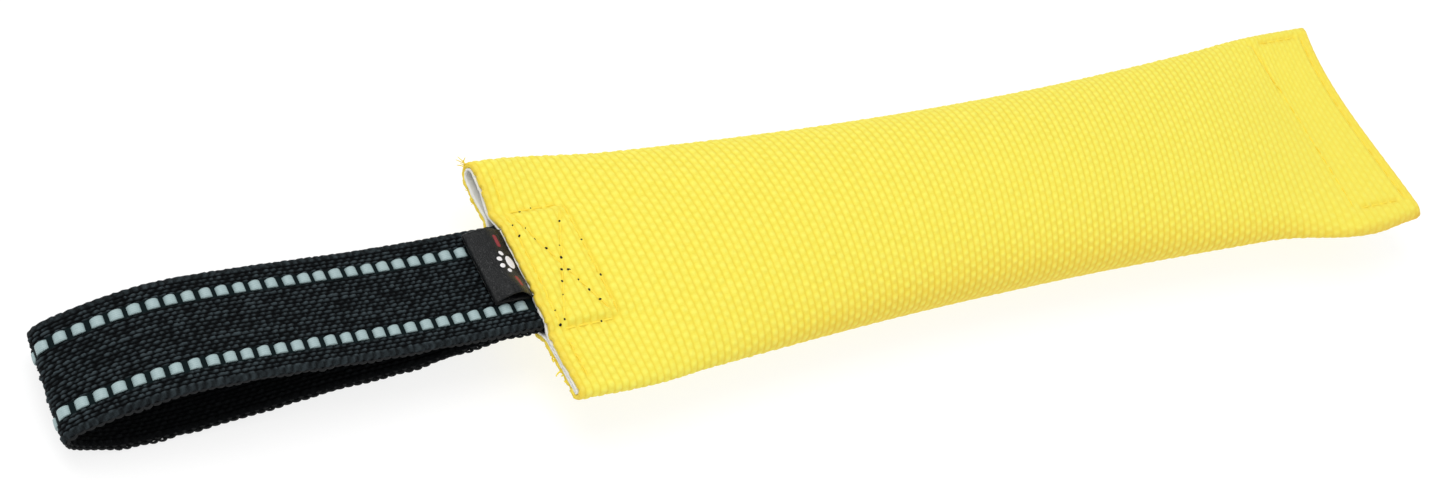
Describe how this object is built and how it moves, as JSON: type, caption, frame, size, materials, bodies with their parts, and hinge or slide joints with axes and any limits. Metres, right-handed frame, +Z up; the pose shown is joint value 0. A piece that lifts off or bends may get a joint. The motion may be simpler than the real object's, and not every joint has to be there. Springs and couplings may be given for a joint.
{
  "type": "training bumper",
  "caption": "Stuffed length of woven hose, flattened and sewn at both ends, with a webbing hand loop sewn into its open mouth.",
  "frame": {"origin": "middle of the flat face that the stuffed body rests on, half way along the hose", "axes": "+X along the hose to its closed end, -X to the mouth and hand loop, +Y across the hose, +Z up"},
  "size_m": [0.3573, 0.058, 0.0262],
  "materials": {
    "hose_weave": "plain-woven polyester yarn, satin",
    "lining": "smooth matt white",
    "filling": "loose polyester fibre",
    "webbing": "tightly woven black webbing, dull",
    "reflective_tape": "retroreflective grey tape, satin",
    "label_leather": "grained black, semi-gloss",
    "needle_thread": "twisted polyester thread",
    "bobbin_thread": "twisted dark polyester thread"
  },
  "bodies": {
    "bumper": {"hose_jacket": "hose_weave", "hose_lining": "lining", "fibre_filling": "filling", "strap_tails": "webbing", "label_tail": "label_leather", "box_stitch_thread": "needle_thread", "box_stitch_bobbin": "bobbin_thread", "cross_stitch_thread": "needle_thread", "cross_stitch_bobbin": "bobbin_thread", "mouth_row_thread": "needle_thread", "mouth_row_bobbin": "bobbin_thread", "far_edge_row_thread": "needle_thread", "far_edge_row_bobbin": "bobbin_thread", "far_inner_row_thread": "needle_thread", "far_inner_row_bobbin": "bobbin_thread", "far_side_rows_thread": "needle_thread", "far_side_rows_bobbin": "bobbin_thread"},
    "hand_loop": {"handle_loop": "webbing", "reflective_stripe_far": "reflective_tape", "reflective_stripe_near": "reflective_tape"},
    "label": {"label_tab": "label_leather"}
  },
  "joints": [
    {"name": "loop_swing", "type": "hinge", "parent": "bumper", "child": "hand_loop", "pos_m": [-0.129, 0.0014, 0.0148], "axis": [0, 1, 0], "range_deg": [-60, 60]},
    {"name": "label_lift", "type": "hinge", "parent": "hand_loop", "child": "label", "pos_m": [-0.1305, 0.0038, 0.0169], "axis": [0, 1, 0], "range_deg": [0, 45]}
  ]
}
